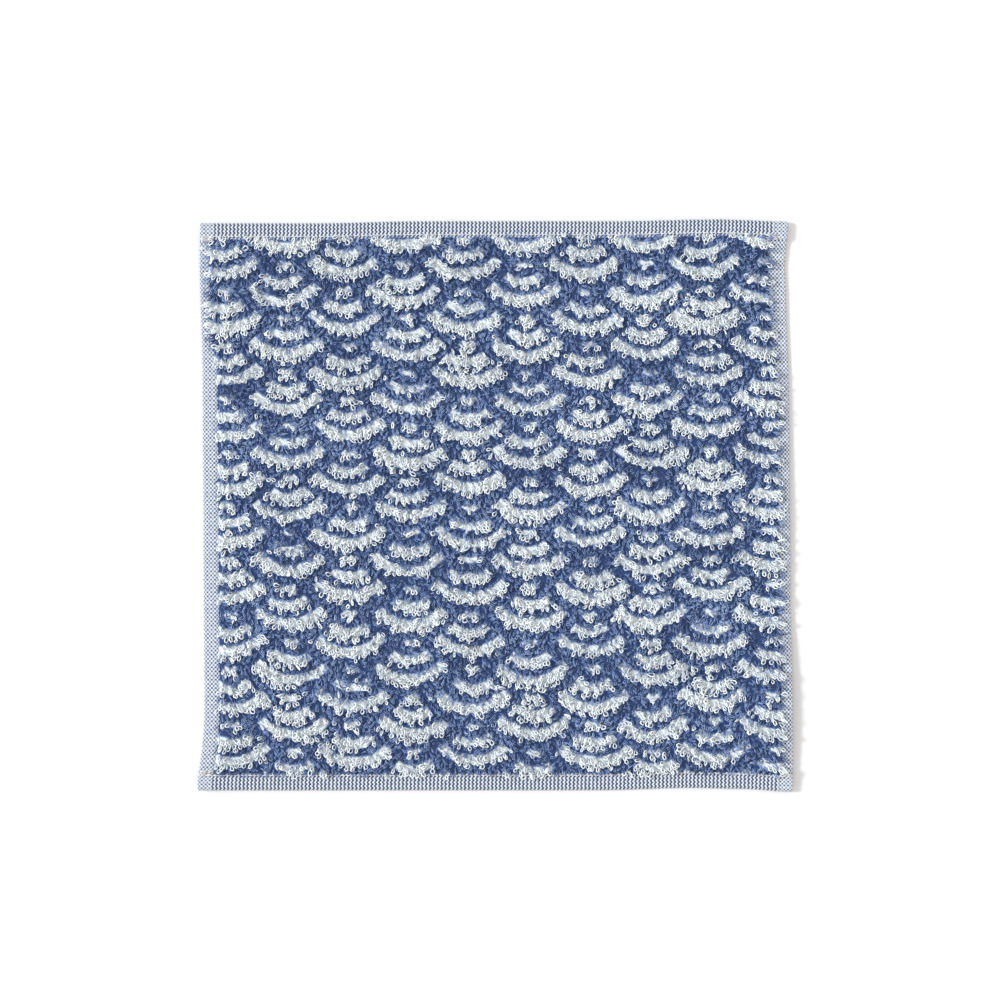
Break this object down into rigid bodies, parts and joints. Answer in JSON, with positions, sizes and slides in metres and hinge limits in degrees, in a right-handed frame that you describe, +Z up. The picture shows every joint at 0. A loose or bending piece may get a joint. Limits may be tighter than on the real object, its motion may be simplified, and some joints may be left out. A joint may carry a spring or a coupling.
{
  "type": "tenugui towel, a small square loop-pile hand towel laid flat",
  "caption": "Small square cotton towel lying flat, loop pile in an overlapping-wave pattern, plain woven selvedges at the sides and folded hems at the ends.",
  "frame": {"origin": "middle of the towel's outline, on the surface it lies on", "axes": "+X across the towel towards the right selvedge, +Y along it towards the far hem, +Z up"},
  "size_m": [0.2518, 0.2424, 0.0047],
  "materials": {
    "loop_pile": "matt cotton loop pile, white loops over indigo blue loops",
    "flat_weave": "matt flat-woven cotton, white with blue-grey threads",
    "sewing_thread": "pale spun polyester thread"
  },
  "bodies": {
    "root": {"towel": "loop_pile"}
  },
  "joints": []
}
